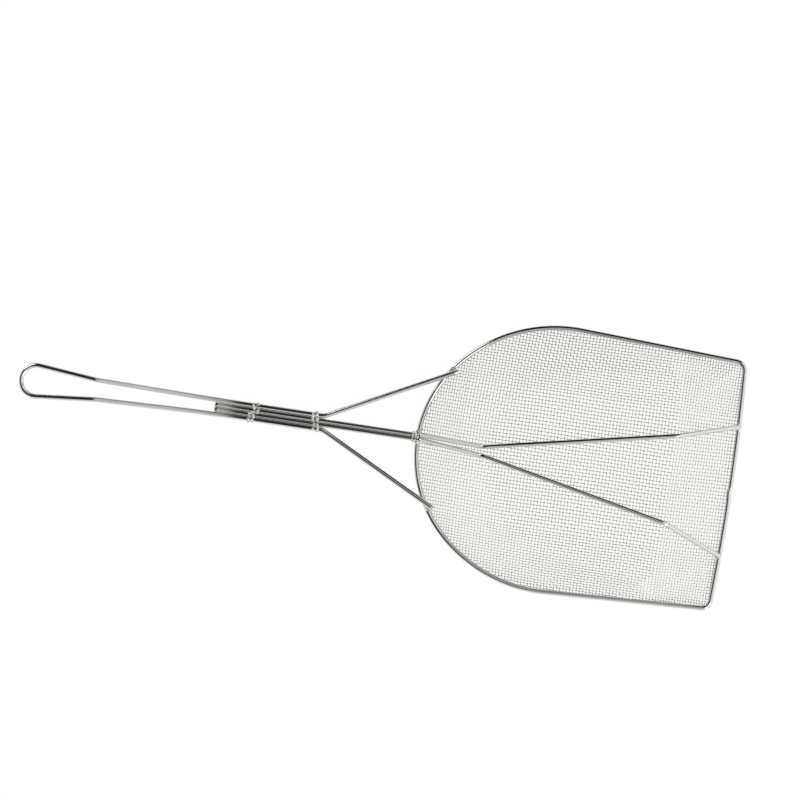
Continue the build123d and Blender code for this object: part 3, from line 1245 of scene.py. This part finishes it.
@dataclass
class Studio:
    """White floor, soft surroundings with a dark band overhead, two soft lamps and a black card.

    Lengths here are in metres. Each pair in along and sides is a part of the direction, from -1
    to 1, and the level of the light that comes from there, where 1 is white.
    """

    floor_size: float = 8.0
    floor_drop: float = 0.0002
    shadow_share: float = 0.05
    # The light by x inside the band, and by y outside it.
    along: Pairs = (
        (-1.0, 0.95),
        (-0.86, 0.9),
        (-0.7, 0.08),
        (-0.5, 0.02),
        (-0.09, 0.015),
        (-0.06, 0.15),
        (-0.03, 0.45),
        (0.1, 0.56),
        (0.28, 0.74),
        (0.6, 1.0),
        (0.9, 1.2),
    )
    sides: Pairs = (
        (-1.0, 0.9),
        (-0.6, 1.0),
        (0.5, 0.5),
        (0.85, 0.16),
        (1.0, 0.2),
    )
    # Middle of the band, where it starts to fade and where it ends, all as parts of direction.
    band_y: float = 0.06
    band_core: float = 0.62
    band_edge: float = 0.92
    # The x over which the sides rise to the full level, and the level of the ramps' white.
    forward: tuple[float, float] = (0.1, 0.8)
    top_level: float = 2.0
    # The two lamps and the white floor's glow.
    lamp_power: float = 12.0
    lamp_size: tuple[float, float] = (1.2, 0.8)
    front_lamp: tuple[float, float, float] = (1.6, -1.2, 1.5)
    back_lamp: tuple[float, float, float] = (-1.6, 1.3, 1.4)
    white: float = 1.02
    # The black card.
    flag_y: float = 0.25
    flag_ends: tuple[float, float] = (0.06, 0.4)
    flag_height: float = 0.5

    def build_floor(self) -> bpy.types.Object:
        """Make a pale floor that looks white to the camera and in gloss, with a trace of shadow."""
        material = empty_material("studio_white")
        tree = material.node_tree
        path = add_node(tree, "ShaderNodeLightPath")
        seen = path.outputs["Is Camera Ray"]
        for kind in ("Is Glossy Ray", "Is Transmission Ray"):
            rays = {0: seen, 1: path.outputs[kind]}
            seen = add_node(tree, "ShaderNodeMath", {"operation": "MAXIMUM"}, rays)
        lit = {0: seen, 1: 1 - self.shadow_share}
        share = add_node(tree, "ShaderNodeMath", {"operation": "MULTIPLY"}, lit)
        glow = {0: linear("FFFFFF"), "Strength": self.white}
        white = add_node(tree, "ShaderNodeEmission", inputs=glow)
        matt = add_node(tree, "ShaderNodeBsdfDiffuse", inputs={0: linear("F2F2F0")})
        mixed = add_node(tree, "ShaderNodeMixShader", inputs={0: share, 1: matt, 2: white})
        add_node(tree, "ShaderNodeOutputMaterial", inputs={0: mixed})
        half = self.floor_size / 2
        plan = [(-half, -half), (half, -half), (half, half), (-half, half)]
        return sheet("floor", [(x, y, -self.floor_drop) for x, y in plan], material)

    def build_flag(self) -> bpy.types.Object:
        """Stand a black card along the left side, which only the metal sees.

        It darkens the wires of the left wall, as the studio's unlit side does in the photo.
        """
        material = empty_material("black_card")
        tree = material.node_tree
        matt = add_node(tree, "ShaderNodeBsdfDiffuse", inputs={0: linear("101010")})
        add_node(tree, "ShaderNodeOutputMaterial", inputs={0: matt})
        low, high = self.flag_ends
        face = [(low, 0.0), (high, 0.0), (high, self.flag_height), (low, self.flag_height)]
        flag = sheet("left_flag", [(x, self.flag_y, z) for x, z in face], material)
        flag.visible_camera = False
        flag.visible_diffuse = False
        flag.visible_transmission = False
        flag.visible_shadow = False
        return flag

    def build_world(self) -> None:
        """Light the scene from all round, with a dark band overhead that runs across the handle.

        Inside the band the level follows a ramp of the direction's x. Outside it the level
        follows a ramp of its y, and rises to the full level towards +x. The band fades where the
        distance of y from its middle passes from the core to the edge.
        """
        world = bpy.data.worlds.new("soft_surroundings")
        bpy.context.scene.world = world
        world.use_nodes = True
        tree = world.node_tree
        tree.nodes.clear()
        coords = add_node(tree, "ShaderNodeTexCoord")
        parts = add_node(tree, "ShaderNodeSeparateXYZ", inputs={0: coords.outputs["Generated"]})
        levels = []
        for axis, stops in ((0, self.along), (1, self.sides)):
            ends = {0: parts.outputs[axis], 1: -1.0, 2: 1.0}
            share = add_node(tree, "ShaderNodeMapRange", inputs=ends)
            ramp = add_node(tree, "ShaderNodeValToRGB", inputs={0: share})
            elements = ramp.color_ramp.elements
            while len(elements) < len(stops):
                elements.new(1 / 2)
            for element, (place, level) in zip(elements, stops):
                tone = level / self.top_level
                element.position = (place + 1) / 2
                element.color = (tone, tone, tone, 1.0)
            levels.append(ramp)
        shift = {0: parts.outputs[1], 1: self.band_y}
        from_band = add_node(tree, "ShaderNodeMath", {"operation": "SUBTRACT"}, shift)
        from_band = add_node(tree, "ShaderNodeMath", {"operation": "ABSOLUTE"}, {0: from_band})
        smooth = {"interpolation_type": "SMOOTHSTEP"}
        ends = {0: from_band, 1: self.band_core, 2: self.band_edge}
        outside = add_node(tree, "ShaderNodeMapRange", smooth, ends)
        ends = {0: parts.outputs[0], 1: self.forward[0], 2: self.forward[1]}
        forward = add_node(tree, "ShaderNodeMapRange", smooth, ends)

        plain = {"data_type": "FLOAT"}
        tones = {0: forward, 2: levels[1], 3: 1 / self.top_level}
        side = add_node(tree, "ShaderNodeMix", plain, tones)
        tones = {0: outside, 2: levels[0], 3: side}
        tone = add_node(tree, "ShaderNodeMix", plain, tones)
        full = {0: tone, 1: self.top_level}
        level = add_node(tree, "ShaderNodeMath", {"operation": "MULTIPLY"}, full)
        seen = add_node(tree, "ShaderNodeLightPath").outputs["Is Camera Ray"]
        strength = add_node(tree, "ShaderNodeMix", plain, {0: seen, 2: level, 3: 1.0})
        glow = {0: linear("FFFFFF"), 1: strength}
        sky = add_node(tree, "ShaderNodeBackground", inputs=glow)
        add_node(tree, "ShaderNodeOutputWorld", inputs={0: sky})

    def build_lamps(self) -> None:
        """Add two large soft lamps, one at the front right and one at the back left."""
        for name, place in (("front_softbox", self.front_lamp), ("back_softbox", self.back_lamp)):
            data = bpy.data.lights.new(name, "AREA")
            data.shape = "RECTANGLE"
            data.size, data.size_y = self.lamp_size
            data.energy = self.lamp_power
            lamp = bpy.data.objects.new(name, data)
            turn = (-Vector(place)).to_track_quat("-Z", "Y").to_matrix().to_4x4()
            lamp.matrix_world = Matrix.Translation(place) @ turn
            bpy.context.scene.collection.objects.link(lamp)

    def build(self) -> list[bpy.types.Object]:
        """Make the surroundings and the lamps, and return the floor and the card."""
        bpy.context.scene.view_settings.view_transform = "Standard"
        self.build_world()
        self.build_lamps()
        return [self.build_floor(), self.build_flag()]


def mount(piece: bpy.types.Object, slot: Slot, node: str) -> None:
    """Tie a piece to the model: it rides on the one body, and stands for a node.

    Args:
        piece: The piece.
        slot: The record's slot that its finish belongs to. It is not used.
        node: The CAD node that it replaces.
    """
    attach(piece, "root")
    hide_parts(node)
    LOG.info("%s stands for %s with %d faces", piece.name, node, len(piece.data.polygons))


def main() -> None:
    """Build every piece in order and report it."""
    cad_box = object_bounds()
    bright, cloth, weld = DrawnSteel().build(), WOVEN_CLOTH.build(), WELD_METAL.build()

    rim = RimWire()
    wires = HandleWires(rim)
    mount(rim.build(bright), Slot.WIRE, "rim_wire")
    for piece, node in wires.build(bright):
        mount(piece, Slot.WIRE, node)
    for piece in WovenBasket().build(rim.line, cloth):
        mount(piece, Slot.CLOTH, "mesh_basket")
    for piece, node in WeldBeads().build(wires, weld):
        mount(piece, Slot.WELD, node)

    PhotoCamera().build()
    for prop in Studio().build():
        prop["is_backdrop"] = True
    boxes = {"cad": cad_box, "visual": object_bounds()}
    {k: [list(map(float, corner)) for corner in v] for k, v in boxes.items()}


if __name__ == "__main__":
    logging.basicConfig(level=logging.INFO, format="%(name)s: %(message)s")
    main()
